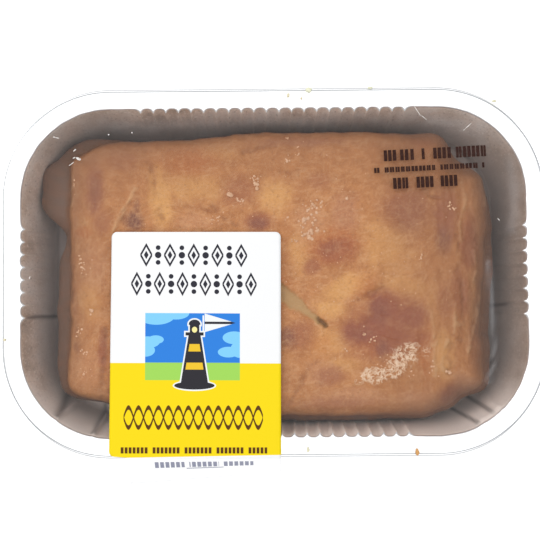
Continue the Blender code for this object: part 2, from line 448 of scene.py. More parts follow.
outline = opening_outline(STEPS_PER_FLUTE, CORNER_STEPS)
tray_points = []
profile = tray_profile()
for offset, height, flute, lip in profile:
    for x, y, nx, ny, share in outline:
        move = offset + LONG_SIDE_LIP * lip * ny * ny - FLUTE_DEPTH * flute * share
        if offset < 0.0005 and 0.002 < height:
            move -= pleat_depth(x, y, height) + facet_depth(x, y, height)
            move += 0.00015 * noise.noise(Vector((x, y, 0.5 * height)) * 230.0)
        tray_points.append((x + nx * move, y + ny * move, height))
count = len(outline)
tray_faces = []
for ring in range(len(profile) - 1):
    for step in range(count):
        after = (step + 1) % count
        low, high = ring * count, (ring + 1) * count
        tray_faces.append((low + step, low + after, high + after, high + step))
tray_faces.append(tuple(reversed(range(count))))
tray_faces.append(tuple(range((len(profile) - 1) * count, len(profile) * count)))

BARE_FOIL = (0.90, 0.905, 0.91)
FOIL_IN_SHADE = (0.50, 0.51, 0.53)
foil = Finish("drawn_foil")
foil_place = foil.node("ShaderNodeNewGeometry", output="Position")
foil_split = foil.node("ShaderNodeSeparateXYZ", Vector=foil_place)
foil_right, foil_back, foil_height = (Wire(foil.tree, output) for output in foil_split.socket.node.outputs)
# The inside below the rim: its colour is partly a real film of baked butter and partly a painted reflection
# of the brown crust in the foil.
inside_wall = foil.attribute("inside") * (1.0 - foil_height.rise(rim_height - 0.0009, rim_height - 0.0003))
smear = foil.grain(0.0060, detail=4.0, stretch=(1.0, 1.0, 0.35))
cloudy = foil.grain(0.0170, detail=3.0, rough=0.6, stretch=(1.0, 1.0, 0.6))
grit = foil.grain(0.0009, detail=3.0, rough=0.6, stretch=(1.0, 1.0, 0.5))
# Masks of painted light, lighter low on the walls and on the front wall, and of painted shade, darker on the
# tray's floor, on the right wall and at the back left.
painted_light_low = 1.0 - foil_height.rise(0.004, 0.030)
floor_shade = 1.0 - foil_height.rise(0.0008, 0.0030)
right_wall_shade = foil_right.rise(0.080, 0.093)
front_wall_light = (foil_back * -1.0).rise(0.040, 0.054)
back_left_shade = foil_back.rise(0.040, 0.052) * (foil_right * -1.0).rise(0.052, 0.070)
butter_and_reflection = foil.mix(smear.rise(0.25, 0.75), (0.60, 0.44, 0.335), (0.82, 0.63, 0.505))
# Random cloudy and gritty tone, then the painted light and painted shade of the masks above, then painted
# shade in the creases.
for share, tint in (
    (cloudy.rise(0.42, 0.66) * 0.55, (0.92, 0.86, 0.82)),
    ((1.0 - cloudy).rise(0.52, 0.70) * 0.50, (0.27, 0.22, 0.19)),
    (grit.rise(0.56, 0.70) * 0.7, (0.95, 0.84, 0.76)),
    ((1.0 - grit).rise(0.58, 0.72) * 0.6, (0.26, 0.19, 0.155)),
    (painted_light_low * 0.85, (0.86, 0.72, 0.65)),
    (floor_shade, (0.32, 0.25, 0.22)),
    (right_wall_shade * 0.60, (0.34, 0.265, 0.225)),
    (front_wall_light * 0.90, (0.98, 0.87, 0.80)),
    (back_left_shade * 0.45, (0.36, 0.29, 0.25)),
    (foil.attribute("crease_shade") * 0.80, (0.13, 0.095, 0.080)),
):
    butter_and_reflection = foil.mix(share, butter_and_reflection, tint)
outside = foil.mix(foil_height.rise(rim_height - 0.0032, rim_height - 0.0012), FOIL_IN_SHADE, BARE_FOIL)
foil.feed("Base_Color", foil.mix(inside_wall, outside, butter_and_reflection))
foil.feed("Metallic", 1.0 - inside_wall * 0.88)
foil.feed("Roughness", 0.26 + inside_wall * 0.20 + smear * 0.10)
foil.bump(foil.grain(0.0011, detail=2.0, stretch=(1.0, 1.0, 0.07)) * 0.5 + grit * 0.3, 0.00012)

tray = mesh_piece("foil_tray", tray_points, tray_faces, foil)
tray_form = bmesh.new()
tray_form.from_mesh(tray.data)
bmesh.ops.recalc_face_normals(tray_form, faces=tray_form.faces)
tray_form.to_mesh(tray.data)
tray_form.free()
inner_rings = next(ring for ring, (offset, *_) in enumerate(profile) if offset > 0.0)
lay_map(tray, "inside", np.arange(len(tray_points)) < inner_rings * count)
lay_map(tray, "crease_shade", [crease_shading(x, y) if z < 0.97 * rim_height else 0.0 for x, y, z in tray_points])
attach(tray, "root")
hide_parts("tray")

# ---------------------------------------------------------------------------------------------
# Kouign amann: bread dough folded with butter and sugar, baked in the tray. Its crust is golden,
# caramelised in patches where sugar boiled up, and pressed flat where it meets the film.
# ---------------------------------------------------------------------------------------------
SLAB_HALF = (0.0808, 0.0550)
SLAB_FOOT_HALF = (0.0770, 0.0505)
SLAB_CENTRE = (0.0019, -0.0004)
CONTACT = film_low.z - 0.00035
SLAB_TOP = 0.0369
SLAB_FLOOR = 0.0009
CELLS = (330, 220)
SIDE_RINGS = 21
OUTLINE_BUMPS = (
    # degrees, width in degrees, share of the reach
    (17.0, 7.0, 0.018),
    (32.5, 5.0, -0.055),
    (41.5, 3.5, 0.035),
    (128.0, 16.0, -0.042),
    (143.0, 4.0, 0.012),
    (151.0, 4.0, 0.030),
    (207.5, 6.0, 0.042),
    (216.0, 4.0, -0.030),
    (314.0, 5.0, 0.018),
    (326.5, 3.5, -0.024),
    (331.0, 3.5, 0.030),
    (348.0, 10.0, -0.022),
)
TIER_FOOT = (0.004, 0.020)
TIER_TOP = (0.0215, 0.0270)
LOWER_TIERS = (
    # degrees, width in degrees, share of the reach, how square
    (160.0, 7.0, 0.145, 4.0),
    (147.0, 6.5, 0.080, 2.0),
    (-8.0, 24.0, 0.042, 4.0),
    (190.0, 20.0, 0.070, 4.0),
    (275.0, 48.0, 0.030, 6.0),
)


def bump_at(angle, degrees, width, amount, power=2.0):
    turned = (np.degrees(angle) - degrees + 180.0) % 360.0 - 180.0
    return amount * np.exp(-(np.abs(turned / width) ** power))


def slab_radius(angle, half):
    """Distance from the slab's middle to its outline, in each direction."""
    reach = 1.0 + 0.003 * np.sin(5.0 * angle + 0.6) + 0.002 * np.sin(11.0 * angle + 2.1)
    reach = reach + 0.0022 * np.sin(31.0 * angle + 0.7) + 0.0014 * np.sin(57.0 * angle + 1.9)
    for degrees, width, amount in OUTLINE_BUMPS:
        reach = reach + bump_at(angle, degrees, width, amount)
    power = np.abs(np.cos(angle) / half[0]) ** 6.0 + np.abs(np.sin(angle) / half[1]) ** 6.0
    return power ** (-1.0 / 6.0) * reach


def cloud(x, y, grain, seed, octaves=3, z=None):
    """Smooth noise from about -1 to 1 at every point, with features grain millimetres across."""
    z = np.zeros_like(x) if z is None else z
    spots = zip(x / grain, y / grain, z / grain + seed)
    return np.array([noise.fractal(Vector(spot), 1.0, 2.0, octaves) for spot in spots])


def soft_step(value, low, high):
    share = np.clip((value - low) / (high - low), 0.0, 1.0)
    return share * share * (3.0 - 2.0 * share)


def patches(spots, wander, soft=0.55, ragged=0.45):
    """The strongest of several leaning ellipses at each point, their edges ragged and soft."""
    strongest = np.zeros_like(x_mm)
    for centre_x, centre_y, half_x, half_y, lean, strength in spots:
        slope = math.radians(lean)
        across = (x_mm - centre_x) * math.cos(slope) + (y_mm - centre_y) * math.sin(slope)
        up = (y_mm - centre_y) * math.cos(slope) - (x_mm - centre_x) * math.sin(slope)
        reach = np.hypot(across / half_x, up / half_y) + ragged * wander
        strongest = np.maximum(strongest, strength * (1.0 - soft_step(reach, 1.0 - soft, 1.0 + soft)))
    return strongest


def from_path(path):
    """Distance in millimetres from a path of points."""
    nearest = np.full_like(x_mm, 1e9)
    for (ax, ay), (bx, by) in zip(path, path[1:]):
        span = (bx - ax) ** 2 + (by - ay) ** 2
        share = np.clip(((x_mm - ax) * (bx - ax) + (y_mm - ay) * (by - ay)) / span, 0.0, 1.0)
        nearest = np.minimum(nearest, np.hypot(x_mm - ax - share * (bx - ax), y_mm - ay - share * (by - ay)))
    return nearest


def strokes(paths, width, wander):
    """1 on any of the paths, fading across their width."""
    line = np.zeros_like(x_mm)
    for path in paths:
        line = np.maximum(line, np.exp(-((from_path(path) + 0.5 * width * wander) / width) ** 2))
    return line


grid_u, grid_v = np.meshgrid(
    np.linspace(-1.0, 1.0, CELLS[0] + 1), np.linspace(-1.0, 1.0, CELLS[1] + 1), indexing="ij"
)
grid_u = grid_u.ravel()
grid_v = grid_v.ravel()
share_out = np.maximum(np.abs(grid_u), np.abs(grid_v))
direction = np.arctan2(grid_v * SLAB_HALF[1], grid_u * SLAB_HALF[0])
radius = share_out * slab_radius(direction, SLAB_HALF)
top_x = radius * np.cos(direction)
top_y = radius * np.sin(direction)

rim_angle = np.linspace(-math.pi, math.pi, 1600, endpoint=False)
rim_radius = slab_radius(rim_angle, SLAB_HALF)
rim_tree = kdtree.KDTree(len(rim_angle))
for place, (angle, reach) in enumerate(zip(rim_angle, rim_radius)):
    rim_tree.insert((reach * math.cos(angle), reach * math.sin(angle), 0.0), place)
rim_tree.balance()
inset = np.array([rim_tree.find((x, y, 0.0))[2] for x, y in zip(top_x, top_y)]) / MM
inset[share_out > 0.9999] = 0.0

x_mm = (top_x + SLAB_CENTRE[0]) / MM
y_mm = (top_y + SLAB_CENTRE[1]) / MM
wander = cloud(x_mm, y_mm, 6.0, 3.0)
coarse = cloud(x_mm, y_mm, 22.0, 11.0, octaves=2)
fine = cloud(x_mm, y_mm, 1.7, 31.0, octaves=4)
right_side = soft_step(x_mm, 42.0, 68.0)
left_side = soft_step(-x_mm, 55.0, 75.0)
upright = np.maximum(right_side, left_side)

# Pulled dough leaves long thin wrinkles: upright at the two ends, level in the middle.
drift = 2.2 * cloud(x_mm, y_mm, 11.0, 17.0, octaves=2)
level_wrinkle = cloud(x_mm * 0.30, y_mm + drift, 2.6, 27.0)
upright_wrinkle = cloud(x_mm + drift, y_mm * 0.30, 2.6, 21.0)
wrinkle = level_wrinkle * (1.0 - upright) + upright_wrinkle * upright
crest = np.clip(1.0 - np.abs(wrinkle) / 0.16, 0.0, 1.0) ** 2

# Fold lines: besides their relief, crests get a painted highlight and valleys a painted shade.
FOLD_CRESTS = (
    ((-52.7, 32.3), (-55.4, 27.3), (-58.9, 20.9), (-61.6, 14.8)),
    ((68.8, -12.6), (68.4, -18.3), (68.0, -24.0)),
    ((68.4, -19.8), (70.7, -20.6), (71.8, -20.2)),
    ((80.3, 36.5), (82.2, 31.1), (82.5, 25.0)),
    ((72.3, 33.5), (73.4, 26.6), (71.0, 18.2), (71.3, 11.4)),
    ((9.8, -13.2), (14.3, -17.5), (17.7, -21.3)),
    ((59.0, -15.5), (60.4, -23.0), (59.8, -28.4)),
    ((-77.4, 38.6), (-77.6, 31.7), (-77.2, 26.0)),
    ((65.6, -26.7), (63.7, -30.5), (63.3, -36.2), (64.4, -40.4)),
    ((77.0, 7.5), (77.7, 0.7), (76.1, -5.8)),
    ((79.5, -10.0), (77.9, -19.2), (75.2, -26.0), (73.6, -31.3)),
    ((61.2, -27.0), (60.2, -33.0), (60.8, -40.0)),
)
FOLD_VALLEYS = (
    ((-54.3, 26.6), (-57.0, 23.2), (-58.9, 19.4)),
    ((-33.7, 24.9), (-28.8, 24.4), (-23.5, 22.9)),
    ((-23.4, 25.2), (-19.7, 21.3), (-14.4, 17.5)),
    ((12.2, -36.9), (9.9, -43.0), (5.2, -50.5)),
    ((-43.2, 26.1), (-44.0, 23.1), (-42.2, 20.8)),
    ((2.6, 37.9), (10.2, 38.2)),
    ((-11.5, 45.6), (-4.2, 47.5), (2.7, 47.8)),
    ((57.8, 30.6), (60.4, 27.9), (63.8, 27.5)),
    ((-63.9, -21.0), (-63.9, -29.4), (-65.2, -38.9), (-66.4, -47.6)),
    ((69.8, 13.3), (70.1, 3.0), (71.9, -11.5), (70.6, -26.7)),
    ((31.9, -11.1), (37.2, -8.5), (41.1, -6.3)),
    ((49.2, 52.7), (50.3, 50.4)),
    ((66.8, -28.6), (65.2, -32.4), (67.5, -36.6), (65.8, -39.5)),
    ((-46.9, 41.0), (-45.4, 36.0), (-44.7, 29.5)),
    ((-75.9, 14.6), (-76.4, 4.3), (-76.5, -6.4), (-75.8, -17.8), (-75.1, -29.3)),
)
broken = 0.35 + 0.65 * soft_step(cloud(x_mm, y_mm, 3.2, 91.0, octaves=2), -0.35, 0.25)
fold_crest = strokes(FOLD_CRESTS, 0.70, 2.2 * wander + fine) * broken
fold_valley = strokes(FOLD_VALLEYS, 0.85, 2.6 * wander + fine) * broken

# Round shoulders: narrow on the left, broad on the right.
shoulder = 5.0 + 6.0 * right_side - 2.0 * left_side
drop_share = np.clip(1.0 - inset / shoulder, 0.0, 1.0)
fall = (10.0 + 2.5 * right_side) * (1.0 - np.sqrt(np.maximum(0.0, 1.0 - drop_share ** 2)))
relief = 0.9 * coarse + 0.30 * wander + 0.12 * fine + 0.30 * wrinkle
relief -= 1.2 * (1.0 - soft_step(inset, 2.0, 16.0))
relief -= 0.8 * soft_step(x_mm, 69.0, 73.0)
relief += 0.7 * fold_crest - 0.5 * fold_valley

# The crust is torn open in front of the middle: a shallow trough that ends in a small hole.
TEAR = ((0.0, -6.0), (2.6, -7.8), (8.6, -12.1), (13.9, -16.3), (19.2, -20.6))
tear_width = 3.3 - 2.4 * soft_step(x_mm, 2.0, 19.0)
tear = (1.0 - soft_step(from_path(TEAR) + 0.6 * wander + 0.4 * fine, 0.65 * tear_width, 1.15 * tear_width))
tear_hole = patches(((18.3, -19.4, 2.3, 0.7, -42.0, 0.75),), wander + fine, soft=0.5, ragged=0.5)
relief -= 0.9 * tear + 1.4 * tear_hole

FROTH = (
    (37.7, -39.8, 5.2, 3.4, 0.0, 1.0),
    (45.0, -38.4, 5.6, 2.0, 12.0, 1.0),
    (48.2, -33.6, 6.0, 4.6, 35.0, 1.0),
    (50.8, -29.6, 3.8, 2.6, 10.0, 0.9),
    (57.5, -31.0, 1.6, 2.6, 0.0, 0.5),
    (31.5, -42.0, 2.4, 1.3, 0.0, 0.6),
)
froth = patches(FROTH, wander, soft=0.30, ragged=0.40)
bubbles = cloud(x_mm, y_mm, 1.6, 41.0, octaves=3)
froth = np.clip(froth - 0.8 * np.clip(bubbles, 0.0, 1.0), 0.0, 1.0)
relief += 0.5 * froth
height = SLAB_TOP + (relief - fall) * MM
height = np.minimum(height, CONTACT) - 0.00003 * (1.0 - np.exp(-np.maximum(height - CONTACT, 0.0) / 0.001))

# Colour zones, each a share from 0 to 1: x, y, half sizes in mm, lean in degrees, strength.
CARAMEL = (
    (43.0, -21.0, 14.0, 11.0, 8.0, 0.90),
    (42.1, -13.9, 6.8, 6.0, 0.0, 1.0),
    (51.6, -18.2, 6.8, 5.6, 0.0, 0.95),
    (37.1, -22.6, 10.6, 6.6, 5.0, 0.95),
    (47.8, -25.0, 9.9, 5.0, 0.0, 0.75),
    (29.5, -22.5, 3.8, 4.6, 0.0, 0.90),
    (42.0, -28.8, 5.5, 3.6, 0.0, 0.85),
    (24.0, 8.0, 8.4, 5.2, 12.0, 0.62),
    (14.5, 2.0, 3.6, 3.0, 30.0, 0.60),
    (-68.0, 31.6, 3.4, 9.1, 0.0, 0.70),
    (-65.4, 19.4, 3.4, 4.6, 0.0, 0.45),
    (-65.1, -29.3, 1.9, 7.6, 0.0, 0.75),
    (-6.0, 18.9, 5.0, 3.4, 0.0, 0.74),
    (-12.7, 31.2, 6.9, 5.3, 20.0, 0.45),
    (9.7, -24.3, 5.6, 5.3, 0.0, 0.55),
    (21.0, -39.6, 5.7, 3.4, 10.0, 0.50),
    (65.7, 21.0, 4.6, 10.0, 0.0, 0.75),
    (74.7, 9.4, 3.8, 11.0, 0.0, 0.75),
    (71.5, -9.0, 4.6, 8.0, 0.0, 0.60),
    (50.0, 24.0, 9.5, 8.0, 0.0, 0.50),
    (27.2, 22.4, 5.3, 9.1, 0.0, 0.25),
    (67.4, -47.6, 4.6, 4.6, 0.0, 0.75),
    (17.8, 34.7, 4.6, 3.0, 0.0, 0.35),
    (65.0, -11.4, 3.8, 6.1, 0.0, 0.40),
    (24.7, -50.5, 15.2, 2.3, 0.0, 0.40),
    (57.5, 49.6, 5.3, 2.3, 0.0, 0.50),
    (10.3, 50.0, 15.2, 1.9, 0.0, 0.45),
    (-57.0, 43.0, 6.0, 4.0, 0.0, 0.30),
    (77.0, -30.0, 3.0, 9.0, 0.0, 0.35),
)
GOLD = (
    (-42.5, 27.6, 4.2, 10.7, 8.0, 1.0),
    (-31.0, 32.1, 10.5, 5.3, 0.0, 0.70),
    (0.6, 28.8, 6.0, 5.6, 0.0, 0.90),
    (26.2, -6.5, 10.5, 3.6, 28.0, 0.95),
    (21.2, -14.1, 5.6, 3.6, 0.0, 0.90),
    (19.2, -27.0, 6.9, 5.3, 0.0, 0.75),
    (24.8, -35.8, 6.1, 3.0, 0.0, 0.60),
    (42.3, 9.7, 8.4, 9.9, 20.0, 0.60),
    (49.8, -5.6, 9.1, 3.8, -15.0, 0.60),
    (-70.2, -9.5, 3.8, 6.9, 0.0, 0.55),
    (-72.3, 18.3, 2.7, 3.0, 0.0, 0.30),
    (63.8, -32.4, 4.0, 9.4, 0.0, 0.95),
    (9.9, 8.1, 3.8, 8.4, 0.0, 0.60),
    (-22.1, 45.7, 9.9, 2.7, -5.0, 0.45),
    (75.4, -5.8, 1.9, 9.9, 0.0, 0.40),
    (60.0, -15.2, 2.7, 11.4, 0.0, 0.40),
    (48.0, 3.2, 6.9, 7.6, 0.0, 0.40),
)
DUSK = (
    (52.0, 20.5, 8.0, 9.0, 0.0, 0.34),
    (-53.2, 19.7, 3.2, 3.6, 0.0, 1.0),
    (-52.2, 24.6, 1.6, 3.4, 0.0, 0.60),
    (-6.0, 18.5, 3.6, 2.0, 0.0, 0.45),
    (64.5, 11.4, 3.0, 4.8, 0.0, 0.70),
    (39.5, -15.8, 3.8, 4.6, 0.0, 0.34),
    (32.5, -24.1, 5.3, 3.0, 0.0, 0.24),
    (40.8, -30.3, 2.3, 3.8, 0.0, 0.50),
    (4.8, -25.4, 3.0, 3.8, 0.0, 0.65),
    (-68.0, 31.6, 1.9, 5.3, 0.0, 0.40),
    (66.6, -47.3, 3.2, 3.2, 0.0, 0.55),
    (21.4, 8.8, 3.8, 2.3, 20.0, 0.30),
)
RUSSET = (
    (-31.7, 42.8, 9.1, 5.3, 0.0, 0.80),
    (23.0, 9.5, 9.5, 6.0, 10.0, 0.90),
    (57.2, -28.5, 3.2, 9.1, 0.0, 0.85),
    (38.2, -28.3, 7.6, 3.8, 0.0, 0.55),
    (-72.3, 15.7, 3.0, 2.3, 0.0, 0.85),
    (2.2, -5.2, 3.8, 4.6, 30.0, 0.60),
    (17.2, -28.2, 5.3, 4.6, 0.0, 0.45),
    (34.6, -5.4, 4.6, 4.6, 0.0, 0.40),
    (52.0, -25.0, 5.0, 3.6, 0.0, 0.70),
)
PALE = (
    (27.2, 21.3, 5.3, 7.6, 0.0, 0.65),
    (13.8, 17.6, 6.1, 7.6, 0.0, 0.60),
    (17.9, -39.0, 6.3, 4.6, 0.0, 0.55),
    (-30.0, 19.1, 7.6, 3.0, 0.0, 0.50),
    (-68.2, 3.1, 5.3, 8.6, 0.0, 0.55),
    (72.3, -43.9, 5.0, 5.0, 0.0, 0.90),
    (55.2, -49.4, 8.6, 3.4, 0.0, 0.75),
    (28.5, -47.2, 12.4, 3.0, 0.0, 0.70),
    (51.0, -48.6, 1.2, 3.0, -18.0, 1.0),
    (-70.0, -35.0, 4.5, 7.0, 0.0, 0.35),
)
patch_edge = 0.7 * wander + 0.5 * fine
caramel = patches(CARAMEL, patch_edge, ragged=0.26)
gold = patches(GOLD, patch_edge)
dusk = patches(DUSK, patch_edge, soft=0.7, ragged=0.25)
russet = patches(RUSSET, patch_edge)
pale = patches(PALE, patch_edge)
# Painted shade, 0 to 1: dark at the border, and darker away from the middle, most towards the back, on the
# right and at the back left.
edge_shade = 1.0 - soft_step(inset + 0.9 * wander + 0.5 * fine, -1.0, 5.0 + 6.0 * right_side)
edge_shade = np.maximum(edge_shade, 0.55 * (1.0 - soft_step(inset, 0.0, 10.0)))
off_middle_shade = (1.0 - soft_step(inset, 0.0, 34.0)) * (0.36 + 0.62 * soft_step(y_mm, -50.0, 30.0))
off_middle_shade += 0.60 * soft_step(x_mm, 30.0, 54.0) - 0.40 * soft_step(x_mm, 66.0, 76.0)
off_middle_shade += 0.40 * soft_step(-x_mm, 40.0, 60.0) * soft_step(y_mm, 22.0, 42.0)

# The side: rings from the shoulder down to the floor, uneven with the ends of the folded
# layers, and with the lower tiers of dough that spread past the top on some sides.
top_count = len(x_mm)
columns = CELLS[1] + 1
border = [u * columns for u in range(CELLS[0] + 1)]
border += [CELLS[0] * columns + v for v in range(1, CELLS[1] + 1)]
border += [u * columns + CELLS[1] for u in range(CELLS[0] - 1, -1, -1)]
border += [v for v in range(CELLS[1] - 1, 0, -1)]
border_angle = direction[border]
border_height = height[border]
side_points = []
for ring in range(1, SIDE_RINGS + 1):
    share = (ring / SIDE_RINGS) ** 1.15
    level = border_height * (1.0 - share) + SLAB_FLOOR * share
    out = (0.25 + 0.75 * soft_step(level, *TIER_FOOT)) * (1.0 - soft_step(level, *TIER_TOP))
    low = soft_step(level, 0.000, 0.010)
    waist = slab_radius(border_angle, SLAB_HALF)
    foot = slab_radius(border_angle, SLAB_FOOT_HALF)
    spread = foot + (waist - foot) * low
    for degrees, width, amount, power in LOWER_TIERS:
        spread = spread * (1.0 + out * bump_at(border_angle, degrees, width, amount, power))
    bulge = 0.0012 * np.sin(math.pi * min(1.0, share * 1.6)) * (1.0 - share)
    px = spread * np.cos(border_angle)
    py = spread * np.sin(border_angle)
    layers = cloud(px / MM, py / MM, 9.0, 61.0, octaves=2, z=level / MM * 5.0)
    pull = bulge + 0.0007 * layers * math.sin(math.pi * min(1.0, share * 1.15 + 0.02))
    pull = pull - 0.0022 * max(0.0, share - 0.93) / 0.07
    side_points.append(np.column_stack((px * (1.0 + pull / spread), py * (1.0 + pull / spread), level)))
slab_points = np.vstack([np.column_stack((top_x, top_y, height))] + side_points)
slab_points[:, 0] += SLAB_CENTRE[0]
slab_points[:, 1] += SLAB_CENTRE[1]

slab_faces = []
for u in range(CELLS[0]):
    for v in range(CELLS[1]):
        low = u * columns + v
        slab_faces.append((low, low + columns, low + columns + 1, low + 1))
around = len(border)
rings = [border]
for ring in range(SIDE_RINGS):
    start = top_count + ring * around
    rings.append(list(range(start, start + around)))
for upper, lower in zip(rings, rings[1:]):
    for step in range(around):
        after = (step + 1) % around
        slab_faces.append((upper[step], lower[step], lower[after], upper[after]))
slab_faces.append(tuple(reversed(rings[-1])))

crust = Finish("baked_crust", Coat_Roughness=0.3, Specular_IOR_Level=0.35)
mottle = crust.grain(0.0040, detail=5.0, rough=0.62)
freckle = crust.grain(0.0010, detail=3.0, rough=0.75)
strand = crust.grain(0.0024, detail=4.0, rough=0.6, stretch=(1.0, 0.35, 1.0), distort=0.8)
lace = (1.0 - abs(crust.grain(0.0019, detail=3.0, rough=0.6, distort=0.6) - 0.5) * 8.0).clamped()
caramel_map = (crust.attribute("caramel") * (0.82 + mottle * 0.36)).clamped()
gold_map = (crust.attribute("gold") * (0.62 + mottle * 0.7)).clamped()
dusk_map = (crust.attribute("dusk") * (0.75 + mottle * 0.5)).clamped()
froth_map = (crust.attribute("froth") * 1.1 + lace * 1.1 - 1.15).clamped()
plain = 1.0 - caramel_map * 0.75
colour = crust.mix(mottle.rise(0.30, 0.70), (0.41, 0.157, 0.052), (0.55, 0.238, 0.087))
for share, tint in (
    # the bake's zones
    (gold_map, (0.66, 0.325, 0.110)),
    (crust.attribute("pale"), (0.53, 0.248, 0.122)),
    (crust.attribute("russet") * 0.85, (0.47, 0.145, 0.036)),
    (caramel_map * 0.94, (0.262, 0.060, 0.026)),
    (dusk_map * 0.85, (0.150, 0.052, 0.044)),
    # the grain of pulled and blistered dough
    (strand.rise(0.54, 0.76) * plain * 0.34, (0.66, 0.36, 0.17)),
    (freckle.rise(0.54, 0.72) * 0.46, (0.20, 0.070, 0.028)),
    ((1.0 - freckle).rise(0.55, 0.72) * plain * 0.38, (0.76, 0.44, 0.22)),
    # painted highlight on wrinkle and fold crests, painted shade in fold valleys
    (crust.attribute("crest") * plain * 0.38, (0.68, 0.38, 0.19)),
    (crust.attribute("fold_crest") * plain * 0.62, (0.72, 0.43, 0.22)),
    (crust.attribute("fold_valley") * 0.42, (0.19, 0.062, 0.026)),
    # the tear, and its hole in painted shade
    (crust.attribute("tear") * 0.85, (0.45, 0.275, 0.120)),
    (crust.attribute("tear_hole"), (0.15, 0.065, 0.025)),
    # painted shade: darker away from the middle and down the sides
    (crust.attribute("off_middle_shade") * 0.46, (0.235, 0.095, 0.044)),
    (crust.attribute("edge_shade") * 0.64, (0.150, 0.082, 0.050)),
    # dried sugar froth over everything
    (froth_map * 0.92, (0.80, 0.59, 0.42)),
):
    colour = crust.mix(share, colour, tint)
crust.feed("Base_Color", colour)
crust.feed("Roughness", 0.60 - caramel_map * 0.20)
crust.feed("Coat_Weight", caramel_map * 0.12)
crust.bump(freckle * 0.6 + strand * 0.4, 0.00022)

slab = mesh_piece("kouign_amann_crust", slab_points, slab_faces, crust)
side = np.zeros(around * SIDE_RINGS)
side_x, side_y = slab_points[top_count:, :2].T / MM
side_blotches = cloud(side_x, side_y, 3.0, 53.0)
side_caramel = np.tile(0.35 + 0.5 * caramel[border], SIDE_RINGS)
side_caramel += 0.35 * np.clip(side_blotches, 0.0, 1.0)
# On the side the dusk, edge and off-middle values are painted shade, darker down the sides.
for name, values, tail in (
    ("caramel", caramel, side_caramel),
    ("gold", gold, side),
    ("dusk", dusk, 0.60 + 0.40 * side_blotches),
    ("russet", russet, side),
    ("pale", pale, side),
    ("crest", crest, side),
    ("fold_crest", fold_crest, side),
    ("fold_valley", fold_valley, side),
    ("froth", froth, side),
    ("tear", tear, side),
    ("tear_hole", tear_hole, side),
    ("edge_shade", edge_shade, 1.40 + 0.32 * side_blotches),
    ("off_middle_shade", off_middle_shade, side + 1.0),
):
    lay_map(slab, name, np.concatenate((values, tail)))
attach(slab, "root")
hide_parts("kouign_amann")

# ---------------------------------------------------------------------------------------------
# Sugar: beads of boiled sugar and butter, hardened on the crust in loose clusters.
# ---------------------------------------------------------------------------------------------
CLUSTERS = (
    # x, y, spread in x and in y in mm, how many, largest radius in mm
    (-16.5, 29.7, 0.8, 0.6, 5, 0.85),
    (-6.2, 33.4, 1.0, 1.0, 5, 0.75),
    (-7.0, 35.7, 2.6, 1.6, 12, 0.50),
    (-12.8, 27.4, 1.6, 1.2, 9, 0.45),
    (15.0, 25.2, 3.0, 1.8, 14, 0.60),
    (12.0, 20.3, 4.2, 2.4, 22, 0.65),
    (13.8, 14.9, 4.0, 2.4, 20, 0.85),
    (18.5, 25.6, 1.0, 1.8, 6, 0.50),
    (68.0, 24.7, 1.3, 1.7, 12, 0.55),
    (28.0, 28.1, 1.0, 1.0, 4, 0.55),
    (34.0, -24.1, 1.2, 1.2, 6, 0.45),
    (37.1, -26.4, 1.4, 1.6, 6, 0.40),
    (4.9, 42.4, 1.6, 1.8, 8, 0.45),
    (9.5, 46.2, 1.6, 3.0, 8, 0.40),
    (56.0, 5.4, 0.8, 1.4, 4, 0.50),
    (-73.9, 4.3, 1.2, 1.6, 7, 0.50),
    (-72.0, 2.0, 2.4, 2.6, 10, 0.40),
    (-69.5, -14.4, 0.5, 1.0, 3, 0.80),
    (-71.9, -30.0, 1.6, 1.0, 6, 0.55),
    (-74.1, -21.6, 1.0, 2.6, 8, 0.50),
    (-76.2, 33.5, 0.5, 5.0, 6, 0.35),
    (7.7, 11.6, 1.4, 0.8, 5, 0.50),
    (26.8, -30.1, 0.8, 0.8, 3, 0.45),
    (57.2, -31.2, 1.2, 2.0, 7, 0.45),
    (66.3, -38.9, 1.2, 1.6, 6, 0.60),
    (60.2, -37.3, 1.6, 2.4, 10, 0.45),
    (-71.2, -37.7, 2.6, 1.8, 8, 0.35),
    (-22.3, 20.6, 2.6, 1.6, 12, 0.40),
    (5.7, 51.2, 1.0, 0.6, 3, 0.45),
    (44.0, -36.0, 7.0, 4.0, 50, 0.40),
    (20.0, 5.0, 50.0, 30.0, 120, 0.26),
)
top_tree = kdtree.KDTree(top_count)
for place in range(top_count):
    top_tree.insert((slab_points[place][0], slab_points[place][1], 0.0), place)
top_tree.balance()
dice = np.random.default_rng(7)
beads = bmesh.new()
for bead_x, bead_y, spread_x, spread_y, number, largest in CLUSTERS:
    for _ in range(number):
        x = (bead_x + spread_x * dice.normal(0.0, 0.6)) * MM
        y = (bead_y + spread_y * dice.normal(0.0, 0.6)) * MM
        size = largest * dice.uniform(0.35, 1.0) * MM
        stretch = dice.uniform(0.7, 1.5)
        turned = Matrix.Rotation(dice.uniform(0.0, math.pi), 3, "Z")
        _, place, away = top_tree.find((x, y, 0.0))
        if away > 0.0006:
            continue
        flat = min(0.30 * size, 0.9 * (film_low.z - slab_points[place][2]))
        ball = bmesh.ops.create_icosphere(beads, subdivisions=2, radius=1.0)
        for vert in ball["verts"]:
            lump = 1.0 + 0.3 * noise.noise(vert.co * 1.3 + Vector((x, y, 0.0)) * 900.0)
            wide = size * lump
            out = turned @ Vector((vert.co.x * wide * stretch, vert.co.y * wide, vert.co.z * flat))
            vert.co = out + Vector((x, y, slab_points[place][2]))


def form_piece(name, form, finish):
    """A named object from a bmesh form, which is used up."""
    mesh = bpy.data.meshes.new(name)
    form.to_mesh(mesh)
    form.free()
    return placed(mesh, finish)


sugar = Finish("hard_sugar", Roughness=0.35)
sugar_grain = sugar.grain(0.0009, detail=2.0).rise(0.3, 0.7)
sugar.feed("Base_Color", sugar.mix(sugar_grain, (0.54, 0.285, 0.150), (0.70, 0.43, 0.27)))
beads_piece = form_piece("sugar_beads", beads, sugar)
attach(beads_piece, "root")

